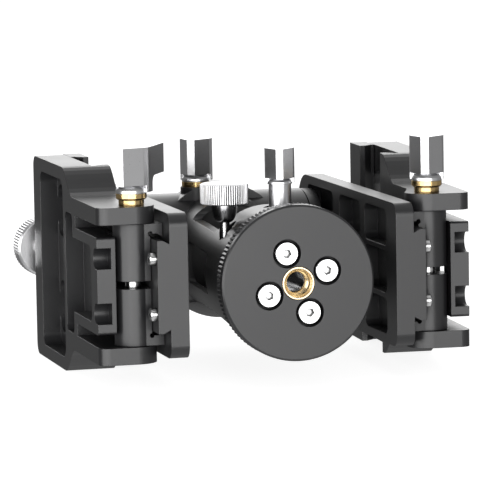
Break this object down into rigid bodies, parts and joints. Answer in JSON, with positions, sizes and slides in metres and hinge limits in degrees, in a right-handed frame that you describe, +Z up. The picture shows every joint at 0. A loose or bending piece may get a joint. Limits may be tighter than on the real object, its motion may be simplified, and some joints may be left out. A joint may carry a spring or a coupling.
{
  "type": "gimbal head",
  "caption": "Double arm gimbal head for long lenses, folded flat, with panning column, tilt barrel, sliding hinged side frames and screw knob plate clamps.",
  "frame": {"origin": "centre of the tripod thread in the outer face of the tripod plate", "axes": "+Y along the panning axis from the tripod plate to the tilt barrel, +X from the left arm to the right arm along the tilt axis, +Z up as the folded head lies on its side"},
  "size_m": [0.166, 0.1544, 0.0929],
  "materials": {
    "black_anodised": "satin black anodised",
    "silver_anodised": "fine blasted silver anodised",
    "stainless": "machined stainless",
    "polished_brass": "polished",
    "gloss_black": "gloss black"
  },
  "bodies": {
    "base": {"base_plate": "black_anodised", "thread_bushing": "polished_brass", "base_screws": "stainless", "pan_spindle": "stainless", "spindle_ring": "stainless"},
    "column": {"column": "black_anodised", "pan_bearing": "polished_brass", "pan_shoe": "polished_brass", "tilt_washer": "polished_brass"},
    "pan_lever": {"pan_lever": "silver_anodised", "pan_post": "silver_anodised"},
    "drag_knob": {"drag_knob": "silver_anodised", "drag_collar": "gloss_black", "drag_screw": "stainless"},
    "tilt_lever": {"tilt_lever": "silver_anodised", "tilt_screw": "stainless"},
    "arms": {"tilt_shaft": "stainless", "left_flange": "black_anodised", "left_arm": "black_anodised", "left_arm_screws": "stainless", "left_stop_screws": "stainless", "right_flange": "black_anodised", "right_arm": "black_anodised", "right_arm_screws": "stainless", "right_stop_screws": "stainless"},
    "left_clamp": {"left_clamp_upper": "black_anodised", "left_clamp_lower": "black_anodised", "left_clamp_dowels": "stainless"},
    "left_frame": {"left_frame": "black_anodised", "left_hinge_pin": "stainless", "left_pin_bush": "polished_brass", "left_thrust_washer": "polished_brass"},
    "left_lever": {"left_lever": "silver_anodised"},
    "left_jaw": {"left_jaw": "black_anodised", "left_jaw_nut": "stainless"},
    "left_knob": {"left_jaw_knob": "silver_anodised", "left_jaw_screw": "stainless"},
    "right_clamp": {"right_clamp_upper": "black_anodised", "right_clamp_lower": "black_anodised", "right_clamp_dowels": "stainless"},
    "right_frame": {"right_frame": "black_anodised", "right_hinge_pin": "stainless", "right_pin_bush": "polished_brass", "right_thrust_washer": "polished_brass"},
    "right_lever": {"right_lever": "silver_anodised"},
    "right_jaw": {"right_jaw": "black_anodised", "right_jaw_nut": "stainless"},
    "right_knob": {"right_jaw_knob": "silver_anodised", "right_jaw_screw": "stainless"}
  },
  "joints": [
    {"name": "pan", "type": "hinge", "parent": "base", "child": "column", "pos_m": [0, 0.009, 0], "axis": [0, 1, 0], "continuous": true},
    {"name": "pan_lever_turn", "type": "hinge", "parent": "column", "child": "pan_lever", "pos_m": [0, 0.025, 0.036], "axis": [0, 0, 1], "range_deg": [-60, 180]},
    {"name": "drag_knob_turn", "type": "hinge", "parent": "column", "child": "drag_knob", "pos_m": [-0.021, 0.03, 0.0285], "axis": [0, 0, 1], "range_deg": [-90, 720]},
    {"name": "tilt_lever_turn", "type": "hinge", "parent": "column", "child": "tilt_lever", "pos_m": [-0.009, 0.12375, 0.0283], "axis": [0, 0, 1], "range_deg": [-60, 180]},
    {"name": "tilt", "type": "hinge", "parent": "column", "child": "arms", "pos_m": [0, 0.128, 0], "axis": [1, 0, 0], "continuous": true},
    {"name": "left_clamp_slide", "type": "slide", "parent": "arms", "child": "left_clamp", "axis": [0, 1, 0], "range_m": [-0.001, 0.088]},
    {"name": "left_frame_swing", "type": "hinge", "parent": "left_clamp", "child": "left_frame", "pos_m": [-0.059, 0.0244, 0], "axis": [0, 0, 1], "range_deg": [-0.5, 90]},
    {"name": "left_lever_turn", "type": "hinge", "parent": "left_frame", "child": "left_lever", "pos_m": [-0.059, 0.0244, 0.0348], "axis": [0, 0, 1], "range_deg": [-60, 180]},
    {"name": "left_knob_turn", "type": "hinge", "parent": "left_frame", "child": "left_knob", "pos_m": [-0.0676, 0.1355, 0.0015], "axis": [0, 1, 0], "range_deg": [-125, 1035]},
    {"name": "left_jaw_slide", "type": "slide", "parent": "left_frame", "child": "left_jaw", "axis": [0, 1, 0], "range_m": [-0.00038, 0.0035]},
    {"name": "right_clamp_slide", "type": "slide", "parent": "arms", "child": "right_clamp", "axis": [0, 1, 0], "range_m": [-0.001, 0.088]},
    {"name": "right_frame_swing", "type": "hinge", "parent": "right_clamp", "child": "right_frame", "pos_m": [0.059, 0.0244, 0], "axis": [0, 0, -1], "range_deg": [-3, 87.25]},
    {"name": "right_lever_turn", "type": "hinge", "parent": "right_frame", "child": "right_lever", "pos_m": [0.059, 0.0244, 0.0348], "axis": [0, 0, 1], "range_deg": [-60, 180]},
    {"name": "right_knob_turn", "type": "hinge", "parent": "right_frame", "child": "right_knob", "pos_m": [0.07292, 0.13496, 0.0015], "axis": [0.048, 0.9988, 0], "range_deg": [-125, 1035]},
    {"name": "right_jaw_slide", "type": "slide", "parent": "right_frame", "child": "right_jaw", "axis": [0.048, 0.9988, 0], "range_m": [-0.00038, 0.0035]}
  ],
  "couplings": [
    {"joint": "left_knob_turn", "follows": "left_jaw_slide", "rad_per_m": 5026.5},
    {"joint": "right_knob_turn", "follows": "right_jaw_slide", "rad_per_m": 5026.5}
  ]
}
